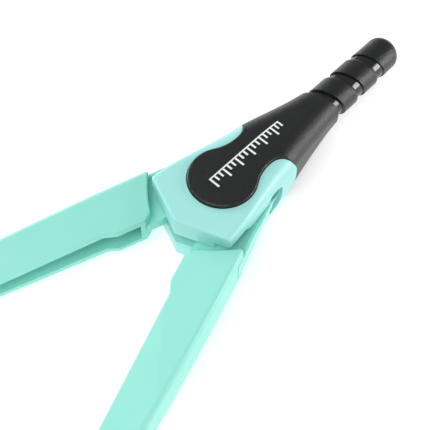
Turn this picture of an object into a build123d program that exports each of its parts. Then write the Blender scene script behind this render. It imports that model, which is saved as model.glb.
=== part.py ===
from build123d import *
import os

# Drawing compass with a grip handle, a clevis head and two geared plastic legs.
# Millimetres. X runs across the compass, +Y along the handle towards the knob, +Z is the front normal.
# Every piece is drawn about the compass's middle plane, and the legs are drawn closed, side by side.
# export_piece() then opens each leg to its rest angle and lifts the whole so that the back plate is at Z = 0.

# Driving dimensions
HALF_DEPTH = 6.95           # middle plane to the faces of the handle's two keyhole plates
REST_OPENING = 19.0         # degrees that each leg is opened at rest

# Head
HEAD_HALF_DEPTH = 6.29
HEAD_WIDTHS = [(-15, 10.85, 0.9), (-9, 10.3, 0.9), (-3, 9.7, 1.4), (2, 8.95, 2.3), (7.2, 8.25, 3.4), (14.8, 7.1, 4.4)]
HEAD_APEX_Y = -13.1
HEAD_CORNER_X = 10.35
HEAD_CORNER_Y = -9.0
SLOT_HALF = 1.5             # half height of the slot that takes both tongues
SLOT_TOP_Y = 8.7
MOUTH_HALF = 3.2            # half height of the two wider mouths in each side of the head
MOUTH_INNER_X = 7.4
LOW_MOUTH_TOP_Y = -2.2
HIGH_MOUTH_LOW_Y = 4.2
HIGH_MOUTH_TOP_Y = 8.9
EAR_WAIST_X = 4.4

# Handle
DISC_RADIUS = 6.85
PLATE_THICKNESS = 1.75
PLATE_EDGE = 0.45
ARCH_Y = 8.5                # the waist's height, and the height of the arches' centres
ARCH_X = 13.52              # an arch of this centre touches the disc, so the outline runs on without a kink
ARCH_RISE = 1.0             # above the waist by this much, a tighter arc takes over
EAR_TOP_X = 7.0             # and ends here, over the top of the ear
EAR_TOP_Y = 13.1
SHOULDER_SIDE_Y = 12.6      # the ear's end, seen from the side, is an arch between these two heights
SHOULDER_Y = 14.2
SHOULDER_HALF = 5.1
PLATE_PLAY = 0.12           # gap round the plates, seen as a dark line
COVER_TOP_Y = 19.5
PLATE_TOP_Y = 11.3          # the flat plates end here, where the cone begins
CONE_SECTIONS = [(11.0, 7.55, 6.95, 3.9), (13.4, 7.2, 6.87, 4.3), (17.4, 6.42, 6.45, 4.3), (21.5, 5.7, 5.85, 4.3),
                 (25.7, 5.03, 5.3, 4.25), (31.2, 4.4, 4.45, 3.9)]
SLANT_X = 0.268             # slope of the collar planes across the knob
SLANT_Z = -0.26             # slope of the collar planes through the knob
COLLARS = [(33.0, 38.2, 4.2, 1.1), (40.0, 45.4, 4.05, 1.1), (47.2, 54.4, 3.9, 2.5)]
GROOVE_RADIUS = 3.6
KNOB_TOP_Y = 54.4
TENON_HALF_X = 3.2
TENON_HALF_Z = 3.4
TENON_TOP_Y = 21.0
FIT = 0.05                  # play on each side of a fitted face

# Hinges and gears
PIVOT_X = 4.5
PIVOT_Y = -1.0
PIN_RADIUS = 1.5
PIN_FLANGE_RADIUS = 2.4
PIN_HALF_LENGTH = 4.9
RUNNING = 0.04
TONGUE_HALF = 1.15
WASHER_RADIUS = 3.2
WASHER_THICKNESS = 0.25
TEETH = 12
TOOTH_TIP_RADIUS = 5.05
TOOTH_ROOT_RADIUS = 3.75
TOOTH_TIP_HALF = 0.27       # half widths of a tooth at its tip and at its root
TOOTH_ROOT_HALF = 0.80
GEAR_FIRST = 90.0           # degrees, the toothed arc of a closed leg's hub
GEAR_LAST = 210.0

# Legs, drawn closed on the +X side
LEG_INNER_WIDE_X = 0.3
LEG_INNER_X = 1.3
BUMP_LOW_Y = -23.4            # the inner edge steps out by a small bump between these heights
BUMP_HIGH_Y = -21.0
LEG_END_INNER = (0.3, -13.95)
LEG_END_OUTER = (10.35, -10.1)
LEG_HALF_OUTER = 4.66       # half thickness along the outer wall
LEG_OUTER_ROUNDING = 1.0
LEG_EDGE_ROUNDING = 0.35
LEG_INNER_DROP = 0.125      # slope of the front face from the outer wall to the inner edge
CREASE_START = (1.3, -24.8)
CREASE_END = (8.5, -43.5)
CREASE_SLOPE = 0.105        # extra slope below the crease
LEG_BOTTOM_Y = -72.0
LEG_BOTTOM_OUTER_X = 6.4
LEG_OUTER_MID = (9.35, -37.0)
LEG_WALL = 1.35
CHANNEL_END_Y = -61.0
RIM_TOP_Y = 4.2              # a thin rim runs up the tongue's outer edge, and drops to the slot's height on the way
RIM_WIDTH = 0.55
RIM_LOW_HALF = 2.4
RIM_BEND_Y = -5.2
RIM_HIGH_HALF = 1.3
END_BLOCK_TOP_Y = -62.5
END_BLOCK_HALF = 3.1
TIP_X = 3.85                # axis of the needle and of the holder's pin in a closed leg

# Needle end
CARRIER_SHANK_TOP_Y = -64.0
NOSE_TOP_Y = -72.3
NOSE_BOTTOM_Y = -82.5
NOSE_TOP_RADIUS = 2.5
NOSE_BOTTOM_RADIUS = 1.5
NEEDLE_RADIUS = 0.6
NEEDLE_TOP_Y = -68.0
NEEDLE_TIP_Y = -95.0
NEEDLE_SCREW_Y = -76.2
CAP_RADIUS = 2.1
CAP_TOP_Y = -82.9
CAP_BOTTOM_Y = -97.0

# Pencil end
HOLDER_PIN_Y = -68.4
HOLDER_PIN_RADIUS = 1.2
FORK_HALF = 1.75
HOLDER_LUG_HALF = 1.55
RING_X = 12.4
RING_TOP_Y = -73.0
RING_BOTTOM_Y = -85.0
RING_BORE_RADIUS = 4.0
RING_RADIUS = 5.8
BOSS_END_X = 20.6
SCREW_Y = -79.0


def mirrored(shape):
    return mirror(shape, about=Plane.YZ)


def along_y(radius, y_low, y_high, x=0.0, z=0.0):
    start = Plane(origin=(x, y_low, z), x_dir=(1, 0, 0), z_dir=(0, 1, 0))
    return extrude(start * Circle(radius), y_high - y_low)


def along_z(radius, z_low, z_high, x, y):
    return extrude(Plane.XY.offset(z_low) * Pos(x, y) * Circle(radius), z_high - z_low)


def along_x(radius, x_low, x_high, y, z=0.0):
    start = Plane(origin=(x_low, y, z), x_dir=(0, 1, 0), z_dir=(1, 0, 0))
    return extrude(start * Circle(radius), x_high - x_low)


def slab(outline, z_low, z_high):
    return extrude(Plane.XY.offset(z_low) * outline, z_high - z_low)


def closed_face(*edges):
    return make_face(Wire(list(edges)))


def box_between(low, high):
    size = [b - a for a, b in zip(low, high)]
    centre = [(a + b) / 2 for a, b in zip(low, high)]
    return Pos(*centre) * Box(*size)


def section_loft(sections):
    faces = []
    for y, half_x, half_z, corner in sections:
        plane = Plane(origin=(0, y, 0), x_dir=(1, 0, 0), z_dir=(0, 1, 0))
        faces.append(plane * RectangleRounded(2 * half_x, 2 * half_z, corner))
    return loft(faces)


# Handle

def keyhole_outline(grow=0.0):
    # Round disc, a narrow waist, and arches that climb over the head's ears to the cone's sides
    radius = DISC_RADIUS + grow
    arch_radius = ARCH_X - EAR_WAIST_X - grow
    reach = radius / (radius + arch_radius)
    touch = (ARCH_X * reach, ARCH_Y * reach)
    rise = ARCH_RISE * arch_radius / (ARCH_X - EAR_WAIST_X)
    run = (arch_radius ** 2 - rise ** 2) ** 0.5
    shoulder = (ARCH_X - run, ARCH_Y + rise)
    right = [
        Edge.make_three_point_arc((0, -radius), (radius, 0), touch),
        Edge.make_three_point_arc(touch, (ARCH_X - arch_radius, ARCH_Y), shoulder),
        Edge.make_tangent_arc(shoulder, (rise, run), (EAR_TOP_X, EAR_TOP_Y - grow)),
        Edge.make_line((EAR_TOP_X, EAR_TOP_Y - grow), (EAR_TOP_X + 3, EAR_TOP_Y - grow)),
        Edge.make_line((EAR_TOP_X + 3, EAR_TOP_Y - grow), (EAR_TOP_X + 3, 60)),
    ]
    left = [edge.mirror(Plane.YZ) for edge in right]
    top = Edge.make_line((EAR_TOP_X + 3, 60), (-EAR_TOP_X - 3, 60))
    return closed_face(*right, top, *left)


def slanted_slab(y_low, y_high):
    start = Plane(origin=(0, y_low, 0), x_dir=(1, SLANT_X, 0), z_dir=(-SLANT_X, 1, -SLANT_Z))
    rise = (1 + SLANT_X ** 2 + SLANT_Z ** 2) ** 0.5
    return extrude(start * Rectangle(40, 40), (y_high - y_low) / rise)


def collar(y_low, y_high, radius, rounding):
    is_last = y_high >= KNOB_TOP_Y
    body = along_y(radius, y_low - 4, y_high if is_last else y_high + 4)
    below = slanted_slab(y_low - 12, y_low)
    body = body - below
    if not is_last:
        body = body - slanted_slab(y_high, y_high + 12)
    top = body.edges().sort_by(Axis.Y)[-1]
    return fillet(top, rounding)


def knob():
    body = along_y(GROOVE_RADIUS, 29, KNOB_TOP_Y - 3)
    for y_low, y_high, radius, rounding in COLLARS:
        body = body + collar(y_low, y_high, radius, rounding)
    return body


def cone():
    sections = [(y, half_x, half_z, min(corner, half_x - 0.02, half_z - 0.02))
                for y, half_x, half_z, corner in CONE_SECTIONS]
    return section_loft(sections) - slanted_slab(30.9, 42)


def keyhole_plate(z_low, z_high):
    plate = slab(keyhole_outline() & Pos(0, PLATE_TOP_Y - 12) * Rectangle(30, 24), z_low, z_high)
    face = plate.faces().sort_by(Axis.Z)[-1]
    rim = [edge for edge in face.edges() if edge.center().Y < 10.9]
    return fillet(rim, PLATE_EDGE)


def handle_shell():
    return (cone() & slab(keyhole_outline(), -8, 8)) + knob()


def handle():
    plate = keyhole_plate(HALF_DEPTH - PLATE_THICKNESS, HALF_DEPTH)
    body = handle_shell() + plate
    tenon_hole = box_between((-TENON_HALF_X - FIT, 0, -TENON_HALF_Z - FIT),
                             (TENON_HALF_X + FIT, TENON_TOP_Y + FIT, TENON_HALF_Z + FIT))
    shoulder = under_shoulder(-HALF_DEPTH - 1, HALF_DEPTH - PLATE_THICKNESS, FIT)
    seat = box_between((-12, -20, -HALF_DEPTH - 1), (12, COVER_TOP_Y, -HALF_DEPTH + PLATE_THICKNESS))
    return body - tenon_hole - shoulder - seat


def under_shoulder(z_low, z_high, play):
    # Everything below the arched line where the ears end and the cone begins
    side_y = SHOULDER_SIDE_Y + play
    arch = Edge.make_three_point_arc((side_y, -SHOULDER_HALF), (SHOULDER_Y + play, 0), (side_y, SHOULDER_HALF))
    corners = [(side_y, SHOULDER_HALF), (side_y, z_high), (-20, z_high), (-20, z_low), (side_y, z_low),
               (side_y, -SHOULDER_HALF)]
    edges = [arch]
    for start, stop in zip(corners, corners[1:]):
        edges.append(Edge.make_line(start, stop))
    return extrude(Plane.YZ * closed_face(*edges), 12, both=True)


def back_plate():
    cover = handle_shell() & box_between(
        (-12, PLATE_TOP_Y - 0.1, -HALF_DEPTH - 1), (12, COVER_TOP_Y - 2 * FIT, -HALF_DEPTH + PLATE_THICKNESS - FIT))
    plate = mirror(keyhole_plate(HALF_DEPTH - PLATE_THICKNESS + FIT, HALF_DEPTH), about=Plane.XY)
    body = plate + cover
    for side in (-1, 1):
        x = side * PIVOT_X
        body = body - along_z(1.15, -HALF_DEPTH - 1, 0, x, PIVOT_Y)
        body = body - along_z(1.95, -HALF_DEPTH - 1, -HALF_DEPTH + 1.0, x, PIVOT_Y)
    return body


# Head

def head_clevis():
    body = section_loft([(y, half_x, HEAD_HALF_DEPTH, corner) for y, half_x, corner in HEAD_WIDTHS])
    corner = (HEAD_CORNER_X + 1.5, HEAD_CORNER_Y + 0.6)
    pentagon = make_face(Polyline((0, HEAD_APEX_Y), corner, (corner[0], 16), (-corner[0], 16),
                                  (-corner[0], corner[1]), (0, HEAD_APEX_Y), close=True))
    body = body & slab(pentagon, -8, 8)
    ends = [edge for edge in body.edges() if edge.center().Y < HEAD_CORNER_Y + 1 and abs(edge.center().Z) > 5.5]
    body = fillet(ends, 0.6)
    body = body - slab(keyhole_outline(PLATE_PLAY), HALF_DEPTH - PLATE_THICKNESS - FIT, 9)
    body = body - slab(keyhole_outline(PLATE_PLAY), -9, -HALF_DEPTH + PLATE_THICKNESS + FIT)
    body = body & under_shoulder(-9, 9, 0)
    body = body + box_between((-TENON_HALF_X, 9, -TENON_HALF_Z), (TENON_HALF_X, TENON_TOP_Y, TENON_HALF_Z))
    return body - head_slot() - pin_holes()


def head_slot():
    slot = box_between((-14, -20, -SLOT_HALF), (14, SLOT_TOP_Y, SLOT_HALF))
    rounded = slot.edges().filter_by(Axis.X).sort_by(Axis.Y)[-2:]
    slot = fillet(rounded, SLOT_HALF - 0.05)
    low_mouth = box_between((MOUTH_INNER_X, -20, -MOUTH_HALF), (14, LOW_MOUTH_TOP_Y, MOUTH_HALF))
    low_mouth = chamfer(low_mouth.edges().filter_by(Axis.X).sort_by(Axis.Y)[-2:], MOUTH_HALF - SLOT_HALF)
    high_mouth = box_between((MOUTH_INNER_X, HIGH_MOUTH_LOW_Y, -MOUTH_HALF), (14, HIGH_MOUTH_TOP_Y, MOUTH_HALF))
    across = high_mouth.edges().filter_by(Axis.X).sort_by(Axis.Y)
    high_mouth = fillet(across[-2:], 2.4)
    high_mouth = chamfer(high_mouth.edges().filter_by(Axis.X).sort_by(Axis.Y)[:2], 0.9)
    mouths = low_mouth + high_mouth
    return slot + mouths + mirrored(mouths)


def pin_holes():
    holes = []
    for side in (-1, 1):
        x = side * PIVOT_X
        holes.append(along_z(PIN_RADIUS + 0.01, -9, PIN_HALF_LENGTH + 0.05, x, PIVOT_Y))
        holes.append(along_z(PIN_FLANGE_RADIUS + 0.01, -9, -PIN_HALF_LENGTH + 0.6, x, PIVOT_Y))
    return holes


# Hinge hardware, drawn for the +X side

def pivot_pin():
    pin = along_z(PIN_RADIUS, -PIN_HALF_LENGTH, PIN_HALF_LENGTH, PIVOT_X, PIVOT_Y)
    flange = along_z(PIN_FLANGE_RADIUS, -PIN_HALF_LENGTH - 0.2, -PIN_HALF_LENGTH + 0.6, PIVOT_X, PIVOT_Y)
    thread = along_z(0.85, -PIN_HALF_LENGTH - 1, 0.5, PIVOT_X, PIVOT_Y)
    return pin + flange - thread


def pivot_screw():
    head_low = -HALF_DEPTH + 0.15
    head = along_z(1.85, head_low, -HALF_DEPTH + 1.0, PIVOT_X, PIVOT_Y)
    head = chamfer(head.edges().sort_by(Axis.Z)[0], 0.25)
    shank = along_z(0.8, -HALF_DEPTH + 0.8, 0.2, PIVOT_X, PIVOT_Y)
    body = head + shank
    for turn in (0, 90):
        blade = Pos(PIVOT_X, PIVOT_Y, head_low) * Rot(0, 0, turn + 25) * Box(2.2, 0.42, 1.0)
        body = body - blade
    return body


def friction_washer():
    low = TONGUE_HALF + 0.04
    ring = along_z(WASHER_RADIUS, low, low + WASHER_THICKNESS, PIVOT_X, PIVOT_Y)
    return ring - along_z(PIN_RADIUS + RUNNING, low - 1, low + 1, PIVOT_X, PIVOT_Y)


# Legs, drawn closed on the +X side

def leg_outline():
    inner_x, inner_y = LEG_END_INNER
    outer_x, outer_y = LEG_END_OUTER
    end_start = (inner_x + 1.5, inner_y + 0.55)
    end_stop = (outer_x - 0.6, outer_y)
    wall_start = (outer_x - 0.05, outer_y - 0.7)
    bump = [(LEG_INNER_X, BUMP_LOW_Y), (LEG_INNER_WIDE_X, BUMP_HIGH_Y)]
    corners = [end_stop, wall_start]
    straights = [(LEG_BOTTOM_OUTER_X, LEG_BOTTOM_Y), (LEG_INNER_X, LEG_BOTTOM_Y), *bump,
                 (LEG_INNER_WIDE_X, inner_y - 1.3), end_start]
    edges = [Edge.make_three_point_arc(end_start, (5.6, -12.15), end_stop), Edge.make_line(*corners),
             Edge.make_three_point_arc(wall_start, LEG_OUTER_MID, straights[0])]
    for start, stop in zip(straights, straights[1:]):
        edges.append(Edge.make_line(start, stop))
    return closed_face(*edges)


def above_plane(points):
    # Everything in front of the plane through three points, as a thick block
    a, b, c = [Vector(*p) for p in points]
    normal = (b - a).cross(c - a).normalized()
    if normal.Z < 0:
        normal = normal * -1
    plane = Plane(origin=a, x_dir=(b - a).normalized(), z_dir=normal)
    return extrude(plane * Rectangle(400, 400), 20)


def face_height(x):
    return LEG_HALF_OUTER - LEG_INNER_DROP * (LEG_END_OUTER[0] - x)


def leg_faces():
    # The two planes of the front face: from the outer wall to the inner edge, and the steeper one below the crease
    outer_x = LEG_END_OUTER[0]
    upper = [(outer_x, -10, face_height(outer_x)), (outer_x, -60, face_height(outer_x)), (0, -10, face_height(0))]
    start_x, start_y = CREASE_START
    end_x, end_y = CREASE_END
    length = ((end_x - start_x) ** 2 + (end_y - start_y) ** 2) ** 0.5
    along = ((end_x - start_x) / length, (end_y - start_y) / length)
    foot = (start_x + along[1] * 10, start_y - along[0] * 10)
    lower = [(start_x, start_y, face_height(start_x)), (end_x, end_y, face_height(end_x)),
             (foot[0], foot[1], face_height(foot[0]) - CREASE_SLOPE * 10)]
    return above_plane(upper) + above_plane(lower)


def leg_channel():
    reach = slab(offset(leg_outline(), -LEG_WALL), -8, 8)
    opening = make_face(Polyline((-1, -16.6), (3.2, -15.4), (3.2, CHANNEL_END_Y), (-1, CHANNEL_END_Y), close=True))
    mouth = slab(opening, -8, 8)
    top = box_between((-2, CHANNEL_END_Y, -8), (12, -10, 8))
    foot_y = CHANNEL_END_Y - 1
    side = Plane.YZ * make_face(Polyline((-10, -2.4), (-10, 2.4), (foot_y, 1.15), (foot_y, -1.15), close=True))
    wedge = extrude(side, 14) + extrude(side, -3)
    return ((reach & top) + mouth) & wedge


def leg_box():
    body = slab(leg_outline(), -LEG_HALF_OUTER, LEG_HALF_OUTER)
    cutters = leg_faces()
    body = body - cutters
    body = body - mirror(cutters, about=Plane.XY)
    body = fillet([edge for edge in rim_edges(body) if on_outer_wall(edge)], LEG_OUTER_ROUNDING)
    body = fillet([edge for edge in rim_edges(body) if not on_outer_wall(edge)], LEG_EDGE_ROUNDING)
    body = body + end_block()
    return body - leg_channel()


def rim_edges(body):
    # The long edges of the front and back faces, without the crease across them or the foot's edges
    rim = []
    for edge in body.edges():
        box = edge.bounding_box()
        is_crease = box.size.X > 5 and box.size.Y > 15 and edge.center().X < 6 and box.size.Z > 0.5
        is_level = box.size.Z < 2.5 and abs(edge.center().Z) > 1.5
        if is_level and not is_crease and edge.center().Y > LEG_BOTTOM_Y + 0.5:
            rim.append(edge)
    return rim


def on_outer_wall(edge):
    middle = edge.center()
    return middle.X > 9.0 + 0.068 * (middle.Y + 10) and middle.Y < LEG_END_OUTER[1] - 0.71


def end_block():
    outline = leg_outline() & Pos(5, (END_BLOCK_TOP_Y + LEG_BOTTOM_Y) / 2) * Rectangle(
        20, END_BLOCK_TOP_Y - LEG_BOTTOM_Y)
    block = slab(outline, -END_BLOCK_HALF, END_BLOCK_HALF)
    return fillet(block.edges().filter_by(Axis.Z), 0.5)


def hub_gear(phase):
    hub = Pos(PIVOT_X, PIVOT_Y) * Circle(TOOTH_ROOT_RADIUS)
    pitch = 360 / TEETH
    for index in range(TEETH):
        angle = index * pitch + phase
        if not GEAR_FIRST <= angle <= GEAR_LAST:
            continue
        tooth = make_face(Polyline((TOOTH_ROOT_RADIUS - 0.4, -TOOTH_ROOT_HALF), (TOOTH_TIP_RADIUS, -TOOTH_TIP_HALF),
                                   (TOOTH_TIP_RADIUS, TOOTH_TIP_HALF), (TOOTH_ROOT_RADIUS - 0.4, TOOTH_ROOT_HALF),
                                   close=True))
        hub = hub + Pos(PIVOT_X, PIVOT_Y) * Rot(0, 0, angle) * tooth
    return hub


def tongue(phase):
    outer_x = LEG_END_OUTER[0]
    inner_x = outer_x - RIM_WIDTH
    web = make_face(Polyline((0.5, -15.0), (0.5, -11.5), (1.9, -3.8), (PIVOT_X, PIVOT_Y), (5.4, 2.6),
                             (inner_x, RIM_TOP_Y - 1), (outer_x - 0.2, RIM_TOP_Y - 1), (outer_x - 0.2, -13.0),
                             close=True))
    flat = slab(web + hub_gear(phase), -TONGUE_HALF, TONGUE_HALF)
    upper = [(-13.0, RIM_LOW_HALF), (RIM_BEND_Y, RIM_LOW_HALF), (RIM_BEND_Y + 3, RIM_HIGH_HALF),
             (RIM_TOP_Y - 0.8, RIM_HIGH_HALF), (RIM_TOP_Y, 0.4)]
    lower = [(y, -half) for y, half in reversed(upper)]
    rim = Pos(inner_x, 0, 0) * extrude(Plane.YZ * make_face(Polyline(*upper, *lower, close=True)), RIM_WIDTH)
    return flat + rim - along_z(PIN_RADIUS + RUNNING, -9, 9, PIVOT_X, PIVOT_Y)


def pencil_leg():
    body = leg_box() + tongue(0)
    fork = box_between((-2, LEG_BOTTOM_Y - 2, -FORK_HALF), (12, HOLDER_PIN_Y + 4.2, FORK_HALF))
    body = body - fork
    return body - along_z(HOLDER_PIN_RADIUS + 0.01, -9, 9, TIP_X, HOLDER_PIN_Y)


def needle_leg():
    body = leg_box() + mirrored_phase_tongue()
    socket = box_between((TIP_X - 1.45, LEG_BOTTOM_Y - 2, -1.85), (TIP_X + 1.45, CARRIER_SHANK_TOP_Y + FIT, 1.85))
    body = body - socket
    return body - along_x(0.62, -2, TIP_X + 1.5, -68.2)


def mirrored_phase_tongue():
    # The needle leg is drawn on the +X side and mirrored later, so its teeth are half a pitch round
    return tongue(180 / TEETH)


# Needle end, drawn on the +X side

def needle_carrier():
    shank = box_between((TIP_X - 1.4, NOSE_TOP_Y - 0.5, -1.8), (TIP_X + 1.4, CARRIER_SHANK_TOP_Y, 1.8))
    nose = Pos(TIP_X, (NOSE_TOP_Y + NOSE_BOTTOM_Y) / 2, 0) * Rot(90, 0, 0) * Cone(
        NOSE_TOP_RADIUS, NOSE_BOTTOM_RADIUS, NOSE_TOP_Y - NOSE_BOTTOM_Y)
    flat_boss = along_z(2.1, -2.4, 2.6, TIP_X, NEEDLE_SCREW_Y)
    body = shank + nose + flat_boss
    body = body - along_y(NEEDLE_RADIUS + RUNNING, NOSE_BOTTOM_Y - 2, NEEDLE_TOP_Y + 3.3, TIP_X)
    body = body - along_z(1.4, 0.95, 9, TIP_X, NEEDLE_SCREW_Y)
    return body - along_z(1.0, 0, 2, TIP_X, NEEDLE_SCREW_Y) - along_x(0.55, -2, TIP_X, -68.2)


def carrier_screw():
    # Small grub screw through the leg's inner wall into the carrier's shank
    body = along_x(0.54, LEG_INNER_X + 0.05, TIP_X - 0.75, -68.2)
    return body - Pos(LEG_INNER_X, -68.2, 0) * Box(0.7, 0.25, 1.4)


def needle():
    shaft = along_y(NEEDLE_RADIUS, NEEDLE_TIP_Y + 7, NEEDLE_TOP_Y, TIP_X)
    step = Pos(TIP_X, NEEDLE_TIP_Y + 4.5, 0) * Rot(90, 0, 0) * Cone(0.42, 0.3, 5.0)
    point = Pos(TIP_X, NEEDLE_TIP_Y + 1.0, 0) * Rot(90, 0, 0) * Cone(0.3, 0.02, 2.0)
    return shaft + step + point


def needle_insert():
    sleeve = along_z(1.38, 1.0, 2.6, TIP_X, NEEDLE_SCREW_Y)
    return sleeve - along_z(0.84, 0, 9, TIP_X, NEEDLE_SCREW_Y)


def needle_screw():
    shank = along_z(0.8, NEEDLE_RADIUS + 0.1, 3.2, TIP_X, NEEDLE_SCREW_Y)
    head = along_z(1.9, 2.9, 4.7, TIP_X, NEEDLE_SCREW_Y)
    head = chamfer(head.edges().filter_by(GeomType.CIRCLE), 0.2)
    for index in range(16):
        turn = Pos(TIP_X, NEEDLE_SCREW_Y, 3.8) * Rot(0, 0, index * 360 / 16)
        head = head - turn * Pos(1.95, 0, 0) * Rot(0, 0, 45) * Box(0.28, 0.28, 3)
    slot = Pos(TIP_X, NEEDLE_SCREW_Y, 4.7) * Rot(0, 0, 30) * Box(5, 0.5, 1.0)
    return shank + head - slot


def needle_cap():
    body = along_y(CAP_RADIUS, CAP_BOTTOM_Y, CAP_TOP_Y + 1.9, TIP_X)
    body = fillet(body.edges().sort_by(Axis.Y)[0], 1.3)
    bore = along_y(0.9, CAP_BOTTOM_Y + 1.2, CAP_TOP_Y + 3, TIP_X)
    nose_room = Pos(TIP_X, CAP_TOP_Y + 0.95 + 0.2, 0) * Rot(90, 0, 0) * Cone(1.84, 1.56, 2.3)
    return body - bore - nose_room


# Pencil end, drawn on the +X side

def pencil_holder():
    lug = Pos(TIP_X, HOLDER_PIN_Y) * Circle(2.3)
    arm = make_face(Polyline((TIP_X - 2.3, HOLDER_PIN_Y), (TIP_X - 2.3, -73.6), (4.2, -79.5), (8.0, -82.5),
                             (9.5, -82.5), (9.5, -74.6), (6.6, -73.3), (TIP_X + 2.3, HOLDER_PIN_Y - 2.6),
                             (TIP_X + 2.3, HOLDER_PIN_Y), close=True))
    body = slab(lug + arm, -HOLDER_LUG_HALF, HOLDER_LUG_HALF)
    body = body + along_y(RING_RADIUS, RING_BOTTOM_Y, RING_TOP_Y, RING_X)
    boss = box_between((RING_X, SCREW_Y - 3.4, -3.1), (BOSS_END_X, SCREW_Y + 3.4, 3.1))
    body = body + fillet(boss.edges().filter_by(Axis.X), 1.2)
    body = body - along_y(RING_BORE_RADIUS, RING_BOTTOM_Y - 1, RING_TOP_Y + 1, RING_X)
    body = body - along_z(HOLDER_PIN_RADIUS + RUNNING, -9, 9, TIP_X, HOLDER_PIN_Y)
    body = body - along_x(1.3, RING_X, BOSS_END_X + 1, SCREW_Y)
    return body - nut_pocket()


def nut_pocket():
    return box_between((17.6, SCREW_Y - 2.05, -2.05), (19.25, SCREW_Y + 2.05, 4.0))


def clamp_nut():
    plate = box_between((17.65, SCREW_Y - 2.0, -2.0), (19.2, SCREW_Y + 2.0, 2.0))
    return plate - along_x(1.24, 17, 20, SCREW_Y)


def holder_pin():
    pin = along_z(HOLDER_PIN_RADIUS, -END_BLOCK_HALF - 0.25, END_BLOCK_HALF + 0.25, TIP_X, HOLDER_PIN_Y)
    front = along_z(1.9, END_BLOCK_HALF + 0.02, END_BLOCK_HALF + 0.62, TIP_X, HOLDER_PIN_Y)
    back = along_z(1.9, -END_BLOCK_HALF - 0.62, -END_BLOCK_HALF - 0.02, TIP_X, HOLDER_PIN_Y)
    front = fillet(front.edges().sort_by(Axis.Z)[-1], 0.4)
    back = fillet(back.edges().sort_by(Axis.Z)[0], 0.4)
    return pin + front + back


def clamp_screw():
    return along_x(1.2, RING_X + RING_BORE_RADIUS + 0.1, BOSS_END_X + 3.4, SCREW_Y)


def clamp_knob():
    low = BOSS_END_X + 0.5
    body = along_x(3.9, low, low + 4.6, SCREW_Y)
    body = fillet(body.edges().filter_by(GeomType.CIRCLE), 0.5)
    for index in range(18):
        start = Plane(origin=(low - 1, SCREW_Y, 0), x_dir=(0, 1, 0), z_dir=(1, 0, 0))
        flute = start * Rot(0, 0, index * 20) * Pos(4.15, 0) * Circle(0.48)
        body = body - extrude(flute, 7)
    return body - along_x(1.2, low - 1, BOSS_END_X + 3.4, SCREW_Y)


# Export

def open_leg(shape, side):
    # Turns a closed leg's piece about its own pivot to the rest angle
    pivot = Pos(side * PIVOT_X, PIVOT_Y, 0)
    return pivot * Rot(0, 0, side * REST_OPENING) * pivot.inverse() * shape


def export_piece(name, shape, side=0):
    if side < 0:
        shape = mirrored(shape)
    if side:
        shape = open_leg(shape, side)
    export_step(Pos(0, 0, HALF_DEPTH) * shape, "parts/" + name + ".step")


def main():
    os.makedirs("parts", exist_ok=True)
    export_piece("handle", handle())
    export_piece("back_plate", back_plate())
    export_piece("head_clevis", head_clevis())
    for name, side in (("left", -1), ("right", 1)):
        pieces = [("pivot_pin_" + name, pivot_pin()), ("pivot_screw_" + name, pivot_screw()),
                  ("friction_washer_" + name, friction_washer())]
        for piece_name, shape in pieces:
            export_piece(piece_name, mirrored(shape) if side < 0 else shape)
    needle_side = [("needle_leg", needle_leg()), ("needle_carrier", needle_carrier()),
                   ("carrier_screw", carrier_screw()), ("needle", needle()), ("needle_insert", needle_insert()),
                   ("needle_screw", needle_screw()), ("needle_cap", needle_cap())]
    for name, shape in needle_side:
        export_piece(name, shape, -1)
    pencil_side = [("pencil_leg", pencil_leg()), ("holder_pin", holder_pin()), ("pencil_holder", pencil_holder()),
                   ("clamp_nut", clamp_nut()), ("clamp_screw", clamp_screw()), ("clamp_knob", clamp_knob())]
    for name, shape in pencil_side:
        export_piece(name, shape, 1)


main()
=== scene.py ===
from math import cos, radians, sin

import bmesh
import bpy
from mathutils import Matrix, Vector
from mathutils.bvhtree import BVHTree


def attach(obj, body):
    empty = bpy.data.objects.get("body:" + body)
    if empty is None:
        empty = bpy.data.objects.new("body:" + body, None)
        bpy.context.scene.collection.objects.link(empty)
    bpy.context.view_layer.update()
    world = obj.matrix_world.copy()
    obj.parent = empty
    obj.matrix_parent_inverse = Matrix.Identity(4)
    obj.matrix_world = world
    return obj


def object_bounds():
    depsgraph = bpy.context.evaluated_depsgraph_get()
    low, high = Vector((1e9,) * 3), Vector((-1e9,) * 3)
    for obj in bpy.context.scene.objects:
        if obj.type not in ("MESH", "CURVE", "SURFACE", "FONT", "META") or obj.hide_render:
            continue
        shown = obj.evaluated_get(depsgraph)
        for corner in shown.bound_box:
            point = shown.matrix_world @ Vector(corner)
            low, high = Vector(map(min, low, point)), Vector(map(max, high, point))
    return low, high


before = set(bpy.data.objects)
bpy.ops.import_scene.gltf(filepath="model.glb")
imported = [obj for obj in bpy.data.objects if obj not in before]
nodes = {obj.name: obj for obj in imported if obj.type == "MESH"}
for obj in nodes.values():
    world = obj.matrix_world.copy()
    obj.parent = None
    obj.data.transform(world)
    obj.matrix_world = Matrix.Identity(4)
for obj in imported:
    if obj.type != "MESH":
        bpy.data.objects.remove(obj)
cad_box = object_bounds()


# Head: the pale mint clevis that both legs turn in, moulded in ABS with a satin tool finish.
# Its tenon is pushed up into the handle, and the two keyhole plates close it from front and back.

def spread_nodes(members):
    rows = 3
    column_width = 220
    row_height = 260
    for place, node in enumerate(members):
        node.location = (column_width * (place // rows), -row_height * (place % rows))


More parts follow.
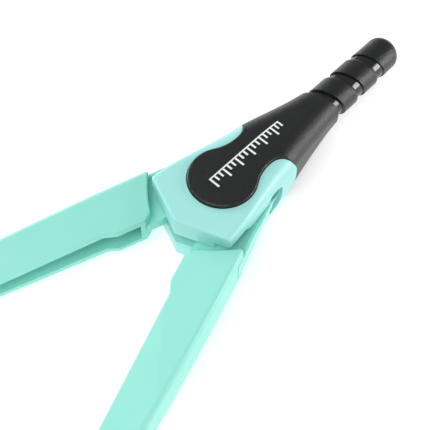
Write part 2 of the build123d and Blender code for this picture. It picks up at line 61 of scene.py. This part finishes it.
def moulded_mint(name, colour, deep, centre):
    material = bpy.data.materials.new(name)
    material.use_nodes = True
    tree = material.node_tree
    tree.nodes.clear()

    colour_frame = tree.nodes.new("NodeFrame")
    colour_frame.label = "pigment"
    coords = tree.nodes.new("ShaderNodeTexCoord")
    coords.label = "place on the piece"
    centring = tree.nodes.new("ShaderNodeMapping")
    centring.label = "centres the patterns on the piece"
    centring.inputs["Location"].default_value = centre
    flow = tree.nodes.new("ShaderNodeTexNoise")
    flow.label = "slow drift of the pigment"
    flow.inputs["Scale"].default_value = 110.0
    flow.inputs["Detail"].default_value = 3.0
    flow.inputs["Roughness"].default_value = 0.55
    pigment = tree.nodes.new("ShaderNodeMix")
    pigment.label = "fresh and deep mint"
    pigment.data_type = "RGBA"
    pigment.inputs["A"].default_value = (*colour, 1)
    pigment.inputs["B"].default_value = (*deep, 1)

    speck_frame = tree.nodes.new("NodeFrame")
    speck_frame.label = "dust specks"
    specks = tree.nodes.new("ShaderNodeTexVoronoi")
    specks.label = "scattered cells"
    specks.inputs["Scale"].default_value = 340.0
    specks.inputs["Randomness"].default_value = 1.0
    speck_dots = tree.nodes.new("ShaderNodeMapRange")
    speck_dots.label = "dot at a cell's middle"
    speck_dots.inputs["From Min"].default_value = 0.030
    speck_dots.inputs["From Max"].default_value = 0.055
    speck_dots.inputs["To Min"].default_value = 1.0
    speck_dots.inputs["To Max"].default_value = 0.0
    speck_pick = tree.nodes.new("ShaderNodeMath")
    speck_pick.label = "only one cell in ten"
    speck_pick.operation = "GREATER_THAN"
    speck_pick.inputs[1].default_value = 0.90
    speck_tone = tree.nodes.new("ShaderNodeSeparateColor")
    speck_tone.label = "a random number for each cell"
    speck_mask = tree.nodes.new("ShaderNodeMath")
    speck_mask.label = "dots that stay"
    speck_mask.operation = "MULTIPLY"
    speck_fade = tree.nodes.new("ShaderNodeMath")
    speck_fade.label = "faintness of the specks"
    speck_fade.operation = "MULTIPLY"
    speck_fade.inputs[1].default_value = 0.55
    speckled = tree.nodes.new("ShaderNodeMix")
    speckled.label = "mint with specks"
    speckled.data_type = "RGBA"
    speckled.inputs["B"].default_value = (0.10, 0.22, 0.20, 1)

    finish_frame = tree.nodes.new("NodeFrame")
    finish_frame.label = "satin tool finish"
    grain = tree.nodes.new("ShaderNodeTexNoise")
    grain.label = "fine grain of the tool"
    grain.inputs["Scale"].default_value = 5200.0
    grain.inputs["Detail"].default_value = 2.0
    sink = tree.nodes.new("ShaderNodeTexNoise")
    sink.label = "shallow sink waves"
    sink.inputs["Scale"].default_value = 260.0
    sink.inputs["Detail"].default_value = 1.0
    sheen = tree.nodes.new("ShaderNodeMapRange")
    sheen.label = "roughness of the finish"
    sheen.inputs["To Min"].default_value = 0.30
    sheen.inputs["To Max"].default_value = 0.46
    waves = tree.nodes.new("ShaderNodeBump")
    waves.label = "sink waves in the surface"
    waves.inputs["Strength"].default_value = 0.10
    waves.inputs["Distance"].default_value = 0.0003
    relief = tree.nodes.new("ShaderNodeBump")
    relief.label = "grain in the surface"
    relief.inputs["Strength"].default_value = 0.10
    relief.inputs["Distance"].default_value = 0.00004

    plastic = tree.nodes.new("ShaderNodeBsdfPrincipled")
    plastic.label = "satin ABS"
    plastic.inputs["IOR"].default_value = 1.50
    plastic.inputs["Specular IOR Level"].default_value = 0.50
    output = tree.nodes.new("ShaderNodeOutputMaterial")
    output.label = "surface"

    for parent, members in (
        (colour_frame, (flow, pigment)),
        (speck_frame, (specks, speck_dots, speck_tone, speck_pick, speck_mask, speck_fade, speckled)),
        (finish_frame, (grain, sink, sheen, waves, relief)),
    ):
        for member in members:
            member.parent = parent
    spread_nodes((coords, centring, flow, pigment, specks, speck_dots, speck_tone, speck_pick, speck_mask,
                  speck_fade, speckled, grain, sink, sheen, waves, relief, plastic, output))

    links = tree.links
    links.new(coords.outputs["Object"], centring.inputs["Vector"])
    for texture in (flow, specks, grain, sink):
        links.new(centring.outputs["Vector"], texture.inputs["Vector"])
    links.new(flow.outputs["Fac"], pigment.inputs["Factor"])
    links.new(specks.outputs["Distance"], speck_dots.inputs["Value"])
    links.new(specks.outputs["Color"], speck_tone.inputs["Color"])
    links.new(speck_tone.outputs["Red"], speck_pick.inputs[0])
    links.new(speck_dots.outputs["Result"], speck_mask.inputs[0])
    links.new(speck_pick.outputs["Value"], speck_mask.inputs[1])
    links.new(speck_mask.outputs["Value"], speck_fade.inputs[0])
    links.new(speck_fade.outputs["Value"], speckled.inputs["Factor"])
    links.new(pigment.outputs["Result"], speckled.inputs["A"])
    links.new(speckled.outputs["Result"], plastic.inputs["Base Color"])
    links.new(sink.outputs["Fac"], sheen.inputs["Value"])
    links.new(sheen.outputs["Result"], plastic.inputs["Roughness"])
    links.new(sink.outputs["Fac"], waves.inputs["Height"])
    links.new(grain.outputs["Fac"], relief.inputs["Height"])
    links.new(waves.outputs["Normal"], relief.inputs["Normal"])
    links.new(relief.outputs["Normal"], plastic.inputs["Normal"])
    links.new(plastic.outputs["BSDF"], output.inputs["Surface"])
    return material


def finish_node(name, material):
    nodes[name].data.materials.clear()
    nodes[name].data.materials.append(material)


head_mint = moulded_mint("head_mint", (0.385, 0.800, 0.760), (0.350, 0.770, 0.730), (0, 0, 0))
finish_node("head_clevis", head_mint)


# Hinges: each leg turns on a nickel-plated pin, held from the back by a small cross-head screw.
# A thin washer on each pin gives the hinge its friction.

def plated_steel(name, colour, grain_scale, low, high):
    material = bpy.data.materials.new(name)
    material.use_nodes = True
    tree = material.node_tree
    tree.nodes.clear()

    finish_frame = tree.nodes.new("NodeFrame")
    finish_frame.label = "plating"
    coords = tree.nodes.new("ShaderNodeTexCoord")
    coords.label = "place on the piece"
    stretch = tree.nodes.new("ShaderNodeMapping")
    stretch.label = "draws the marks out along the piece"
    stretch.inputs["Scale"].default_value = (1.0, 0.25, 1.0)
    marks = tree.nodes.new("ShaderNodeTexNoise")
    marks.label = "turning and handling marks"
    marks.inputs["Scale"].default_value = grain_scale
    marks.inputs["Detail"].default_value = 4.0
    shine = tree.nodes.new("ShaderNodeMapRange")
    shine.label = "polish"
    shine.inputs["To Min"].default_value = low
    shine.inputs["To Max"].default_value = high
    stain = tree.nodes.new("ShaderNodeMix")
    stain.label = "bright and dull plate"
    stain.data_type = "RGBA"
    stain.inputs["A"].default_value = (*colour, 1)
    stain.inputs["B"].default_value = (*(0.8 * part for part in colour), 1)
    relief = tree.nodes.new("ShaderNodeBump")
    relief.label = "marks in the surface"
    relief.inputs["Strength"].default_value = 0.12
    relief.inputs["Distance"].default_value = 0.00002
    metal = tree.nodes.new("ShaderNodeBsdfPrincipled")
    metal.label = "plated metal"
    metal.inputs["Metallic"].default_value = 1.0
    output = tree.nodes.new("ShaderNodeOutputMaterial")
    output.label = "surface"

    for member in (marks, shine, stain, relief):
        member.parent = finish_frame
    spread_nodes((coords, stretch, marks, shine, stain, relief, metal, output))

    links = tree.links
    links.new(coords.outputs["Object"], stretch.inputs["Vector"])
    links.new(stretch.outputs["Vector"], marks.inputs["Vector"])
    links.new(marks.outputs["Fac"], shine.inputs["Value"])
    links.new(marks.outputs["Fac"], stain.inputs["Factor"])
    links.new(marks.outputs["Fac"], relief.inputs["Height"])
    links.new(stain.outputs["Result"], metal.inputs["Base Color"])
    links.new(shine.outputs["Result"], metal.inputs["Roughness"])
    links.new(relief.outputs["Normal"], metal.inputs["Normal"])
    links.new(metal.outputs["BSDF"], output.inputs["Surface"])
    return material


nickel = plated_steel("nickel", (0.66, 0.65, 0.62), 1800.0, 0.16, 0.34)
for side in ("left", "right"):
    for piece in ("pivot_pin_", "pivot_screw_", "friction_washer_"):
        finish_node(piece + side, nickel)


# Handle: black plastic with a fine spark-eroded texture, one moulding with the front keyhole plate.
# The grooves between its three slanted collars are polished. The back plate snaps over the tenon.

def textured_black(name, colour, groove_radius, groove_start, axis_height):
    material = bpy.data.materials.new(name)
    material.use_nodes = True
    tree = material.node_tree
    tree.nodes.clear()

    place_frame = tree.nodes.new("NodeFrame")
    place_frame.label = "where the grooves are"
    coords = tree.nodes.new("ShaderNodeTexCoord")
    coords.label = "place on the piece"
    centring = tree.nodes.new("ShaderNodeMapping")
    centring.label = "centres the knob's axis"
    centring.inputs["Location"].default_value = (0, 0, -axis_height)
    split = tree.nodes.new("ShaderNodeSeparateXYZ")
    split.label = "across, along and through"
    across = tree.nodes.new("ShaderNodeCombineXYZ")
    across.label = "only across and through"
    radius = tree.nodes.new("ShaderNodeVectorMath")
    radius.label = "distance from the axis"
    radius.operation = "LENGTH"
    narrow = tree.nodes.new("ShaderNodeMath")
    narrow.label = "inside a groove"
    narrow.operation = "LESS_THAN"
    narrow.inputs[1].default_value = groove_radius
    high = tree.nodes.new("ShaderNodeMath")
    high.label = "above the cone"
    high.operation = "GREATER_THAN"
    high.inputs[1].default_value = groove_start
    polished = tree.nodes.new("ShaderNodeMath")
    polished.label = "polished groove"
    polished.operation = "MULTIPLY"

    texture_frame = tree.nodes.new("NodeFrame")
    texture_frame.label = "spark-eroded texture"
    erosion = tree.nodes.new("ShaderNodeTexNoise")
    erosion.label = "fine pits"
    erosion.inputs["Scale"].default_value = 2200.0
    erosion.inputs["Detail"].default_value = 4.0
    erosion.inputs["Roughness"].default_value = 0.65
    handling = tree.nodes.new("ShaderNodeTexNoise")
    handling.label = "handling shine"
    handling.inputs["Scale"].default_value = 240.0
    handling.inputs["Detail"].default_value = 4.0
    texture_roughness = tree.nodes.new("ShaderNodeMapRange")
    texture_roughness.label = "roughness of the texture"
    texture_roughness.inputs["To Min"].default_value = 0.26
    texture_roughness.inputs["To Max"].default_value = 0.38
    roughness = tree.nodes.new("ShaderNodeMix")
    roughness.label = "texture or polish"
    roughness.data_type = "FLOAT"
    roughness.inputs["B"].default_value = 0.16
    depth = tree.nodes.new("ShaderNodeMapRange")
    depth.label = "no pits in the grooves"
    depth.inputs["To Min"].default_value = 0.80
    depth.inputs["To Max"].default_value = 0.02
    relief = tree.nodes.new("ShaderNodeBump")
    relief.label = "pits in the surface"
    relief.inputs["Distance"].default_value = 0.00014
    # Painted glints: the pit pattern lightens the black up to 1.7 times, a painted stand-in for the sparkle of
    # the pits in a highlight.
    dust_and_glint = tree.nodes.new("ShaderNodeMix")
    dust_and_glint.label = "black, greyer where the pits catch dust"
    dust_and_glint.data_type = "RGBA"
    dust_and_glint.inputs["A"].default_value = (*colour, 1)
    dust_and_glint.inputs["B"].default_value = (*(1.7 * part for part in colour), 1)

    plastic = tree.nodes.new("ShaderNodeBsdfPrincipled")
    plastic.label = "black ABS"
    plastic.inputs["IOR"].default_value = 1.50
    plastic.inputs["Specular IOR Level"].default_value = 0.5
    output = tree.nodes.new("ShaderNodeOutputMaterial")
    output.label = "surface"

    for member in (centring, split, across, radius, narrow, high, polished):
        member.parent = place_frame
    for member in (erosion, handling, texture_roughness, roughness, depth, relief, dust_and_glint):
        member.parent = texture_frame
    spread_nodes((coords, centring, split, across, radius, narrow, high, polished, erosion, handling,
                  texture_roughness, roughness, depth, relief, dust_and_glint, plastic, output))

    links = tree.links
    links.new(coords.outputs["Object"], centring.inputs["Vector"])
    links.new(centring.outputs["Vector"], split.inputs["Vector"])
    links.new(split.outputs["X"], across.inputs["X"])
    links.new(split.outputs["Z"], across.inputs["Z"])
    links.new(across.outputs["Vector"], radius.inputs[0])
    links.new(radius.outputs["Value"], narrow.inputs[0])
    links.new(split.outputs["Y"], high.inputs[0])
    links.new(narrow.outputs["Value"], polished.inputs[0])
    links.new(high.outputs["Value"], polished.inputs[1])
    links.new(centring.outputs["Vector"], erosion.inputs["Vector"])
    links.new(centring.outputs["Vector"], handling.inputs["Vector"])
    links.new(handling.outputs["Fac"], texture_roughness.inputs["Value"])
    links.new(polished.outputs["Value"], roughness.inputs["Factor"])
    links.new(texture_roughness.outputs["Result"], roughness.inputs["A"])
    links.new(roughness.outputs["Result"], plastic.inputs["Roughness"])
    links.new(polished.outputs["Value"], depth.inputs["Value"])
    links.new(depth.outputs["Result"], relief.inputs["Strength"])
    links.new(erosion.outputs["Fac"], relief.inputs["Height"])
    links.new(erosion.outputs["Fac"], dust_and_glint.inputs["Factor"])
    links.new(dust_and_glint.outputs["Result"], plastic.inputs["Base Color"])
    links.new(relief.outputs["Normal"], plastic.inputs["Normal"])
    links.new(plastic.outputs["BSDF"], output.inputs["Surface"])
    return material


middle_plane = 0.00695
groove_radius = 0.0037
cone_end = 0.0312
handle_black = textured_black("handle_black", (0.0068, 0.0076, 0.0075), groove_radius, cone_end, middle_plane)
finish_node("handle", handle_black)
finish_node("back_plate", handle_black)


# Print: a plain row of white graduations, pad-printed along the handle from the disc up on to the cone.
# The ink is a few hundredths of a millimetre thick and follows the surface below it.

first_bar = -0.0022
bar_pitch = 0.00115
bar_count = 18
bars_per_long_bar = 3
bar_width = 0.00042
short_bar = 0.0013
long_bar = 0.0023
bar_cuts = 4
rule_width = 0.0003
rule_cuts = 24
rule_shift = -0.0001
ink_edge = -0.0011
ink_proud = 0.000025
above_handle = 0.05
shortest_rule_edge = 0.01
shortest_bar_edge = 0.001
surface = BVHTree.FromObject(nodes["handle"], bpy.context.evaluated_depsgraph_get())
ink = bmesh.new()
for index in range(bar_count):
    length = short_bar if index % bars_per_long_bar else long_bar
    place = Matrix.Translation((ink_edge + length / 2, first_bar + bar_pitch * index, 0))
    bmesh.ops.create_cube(ink, size=1, matrix=place @ Matrix.Diagonal((length, bar_width, 1, 1)))
rule_length = bar_pitch * (bar_count - 1) + bar_width
rule_place = Matrix.Translation((ink_edge + rule_shift, first_bar + rule_length / 2 - bar_width / 2, 0))
bmesh.ops.create_cube(ink, size=1, matrix=rule_place @ Matrix.Diagonal((rule_width, rule_length, 1, 1)))
lengthwise = [edge for edge in ink.edges if abs(edge.verts[0].co.y - edge.verts[1].co.y) > shortest_rule_edge]
bmesh.ops.subdivide_edges(ink, edges=lengthwise, cuts=rule_cuts)
crosswise = [edge for edge in ink.edges if abs(edge.verts[0].co.x - edge.verts[1].co.x) > shortest_bar_edge]
bmesh.ops.subdivide_edges(ink, edges=crosswise, cuts=bar_cuts)
for corner in ink.verts:
    hit = surface.ray_cast(Vector((corner.co.x, corner.co.y, above_handle)), Vector((0, 0, -1)))[0]
    corner.co.z = hit.z + (ink_proud if corner.co.z > 0 else -ink_proud)
bmesh.ops.recalc_face_normals(ink, faces=ink.faces)
ink_mesh = bpy.data.meshes.new("scale_print")
ink.to_mesh(ink_mesh)
ink.free()
scale_print = bpy.data.objects.new("scale_print", ink_mesh)
bpy.context.scene.collection.objects.link(scale_print)

ink_white = bpy.data.materials.new("ink_white")
ink_white.use_nodes = True
tree = ink_white.node_tree
tree.nodes.clear()
ink_frame = tree.nodes.new("NodeFrame")
ink_frame.label = "pad-printed ink"
ink_coords = tree.nodes.new("ShaderNodeTexCoord")
ink_coords.label = "place on the piece"
ink_flow = tree.nodes.new("ShaderNodeTexNoise")
ink_flow.label = "uneven ink"
ink_flow.inputs["Scale"].default_value = 3200.0
ink_flow.inputs["Detail"].default_value = 4.0
ink_tone = tree.nodes.new("ShaderNodeMix")
ink_tone.label = "thick and thin ink"
ink_tone.data_type = "RGBA"
ink_tone.inputs["A"].default_value = (0.86, 0.90, 0.90, 1)
ink_tone.inputs["B"].default_value = (0.60, 0.66, 0.66, 1)
ink_spread = tree.nodes.new("ShaderNodeMapRange")
ink_spread.label = "where the ink is thin"
ink_spread.inputs["From Min"].default_value = 0.52
ink_spread.inputs["From Max"].default_value = 0.72
ink_sheen = tree.nodes.new("ShaderNodeMapRange")
ink_sheen.label = "roughness of the ink"
ink_sheen.inputs["To Min"].default_value = 0.42
ink_sheen.inputs["To Max"].default_value = 0.58
ink_shader = tree.nodes.new("ShaderNodeBsdfPrincipled")
ink_shader.label = "white ink"
ink_output = tree.nodes.new("ShaderNodeOutputMaterial")
ink_output.label = "surface"
for member in (ink_flow, ink_tone, ink_spread, ink_sheen):
    member.parent = ink_frame
spread_nodes((ink_coords, ink_flow, ink_spread, ink_tone, ink_sheen, ink_shader, ink_output))
tree.links.new(ink_coords.outputs["Object"], ink_flow.inputs["Vector"])
tree.links.new(ink_flow.outputs["Fac"], ink_spread.inputs["Value"])
tree.links.new(ink_spread.outputs["Result"], ink_tone.inputs["Factor"])
tree.links.new(ink_flow.outputs["Fac"], ink_sheen.inputs["Value"])
tree.links.new(ink_tone.outputs["Result"], ink_shader.inputs["Base Color"])
tree.links.new(ink_sheen.outputs["Result"], ink_shader.inputs["Roughness"])
tree.links.new(ink_shader.outputs["BSDF"], ink_output.inputs["Surface"])
ink_mesh.materials.append(ink_white)
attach(scale_print, "head")


# Legs: two mint channel sections in a slightly greener batch of the same ABS.
# Their geared hubs turn on the pins and meet in the head.

leg_centre = (0, 0.04, 0)
leg_mint = moulded_mint("leg_mint", (0.325, 0.815, 0.715), (0.290, 0.780, 0.670), leg_centre)
finish_node("needle_leg", leg_mint)
finish_node("pencil_leg", leg_mint)


# Needle end: a black carrier in the leg's foot, held by a grub screw. It holds a steel needle with a brass
# insert and a clamping screw, and a black cap is pushed over the needle's point.

no_groove = 0.0
carrier_black = textured_black("carrier_black", (0.0075, 0.0080, 0.0080), no_groove, cone_end, middle_plane)
brass = plated_steel("brass", (0.78, 0.56, 0.24), 1500.0, 0.20, 0.36)
finish_node("needle_carrier", carrier_black)
finish_node("needle_cap", carrier_black)
for piece in ("carrier_screw", "needle", "needle_screw"):
    finish_node(piece, nickel)
finish_node("needle_insert", brass)


# Pencil end: a black holder that swivels on a steel pin in the leg's fork.
# A steel screw with a fluted black knob runs in a captive brass nut and clamps the pencil.

finish_node("pencil_holder", carrier_black)
finish_node("clamp_knob", carrier_black)
finish_node("holder_pin", nickel)
finish_node("clamp_screw", nickel)
finish_node("clamp_nut", brass)


# Studio: a white table top, a large soft panel in front and a low one at the left. A narrow one at the far right
# draws the highlights on the knob. The camera is close, in front of the right leg.

floor_material = bpy.data.materials.new("white_table")
floor_material.use_nodes = True
floor_shader = floor_material.node_tree.nodes["Principled BSDF"]
floor_shader.label = "glowing white table"
floor_shader.inputs["Base Color"].default_value = (0.80, 0.80, 0.80, 1)
floor_shader.inputs["Roughness"].default_value = 0.9
floor_shader.inputs["Emission Color"].default_value = (1, 1, 1, 1)
floor_shader.inputs["Emission Strength"].default_value = 0.45
table_half = 1.5
table_top = cad_box[0][2] - 0.0001
floor_mesh = bpy.data.meshes.new("table_top")
table = bmesh.new()
table_place = Matrix.Translation((0, 0, table_top))
bmesh.ops.create_grid(table, x_segments=1, y_segments=1, size=table_half, matrix=table_place)
table.to_mesh(floor_mesh)
table.free()
floor_mesh.materials.append(floor_material)
floor = bpy.data.objects.new("table_top", floor_mesh)
bpy.context.scene.collection.objects.link(floor)

world = bpy.data.worlds.new("white_studio")
bpy.context.scene.world = world
world.use_nodes = True
world_light = world.node_tree.nodes["Background"]
world_light.label = "even studio light"
world_light.inputs["Color"].default_value = (1.0, 1.0, 1.0, 1)
world_light.inputs["Strength"].default_value = 0.34


def soft_light(name, place, aim, size, power):
    lamp = bpy.data.lights.new(name, "AREA")
    lamp.shape = "RECTANGLE"
    lamp.size, lamp.size_y = size
    lamp.energy = power
    holder = bpy.data.objects.new(name, lamp)
    bpy.context.scene.collection.objects.link(holder)
    holder.location = place
    holder.rotation_euler = (Vector(aim) - Vector(place)).to_track_quat("-Z", "Y").to_euler()


head_middle = (0, 0, 0)
knob_middle = (0, 0.042, 0.007)
soft_light("front_panel", place=(0.05, -0.36, 0.58), aim=head_middle, size=(0.55, 0.55), power=2.9)
soft_light("right_panel", place=(0.445, 0.42, 0.135), aim=knob_middle, size=(0.16, 0.28), power=1.65)
soft_light("left_panel", place=(-0.58, 0.04, 0.20), aim=head_middle, size=(0.40, 0.26), power=2.2)

azimuth = radians(42.90)
elevation = radians(58.56)
roll = radians(0.49)
distance = 0.14835
target = Vector((0.00204, -0.00419, middle_plane))
back = Vector((sin(azimuth) * cos(elevation), -cos(azimuth) * cos(elevation), sin(elevation)))
right = (-back).cross(Vector((0, 0, 1))).normalized()
up = right.cross(-back)
tilted_right = cos(roll) * right + sin(roll) * up
tilted_up = cos(roll) * up - sin(roll) * right
turn = Matrix((tilted_right, tilted_up, back)).transposed().to_4x4()
camera_data = bpy.data.cameras.new("camera")
camera_data.sensor_width = 36.0
camera_data.lens = 63.7953
camera_data.clip_start = 0.001
camera = bpy.data.objects.new("camera", camera_data)
bpy.context.scene.collection.objects.link(camera)
camera.matrix_world = Matrix.Translation(target + back * distance) @ turn
bpy.context.scene.camera = camera
bpy.context.scene.view_settings.view_transform = "Standard"
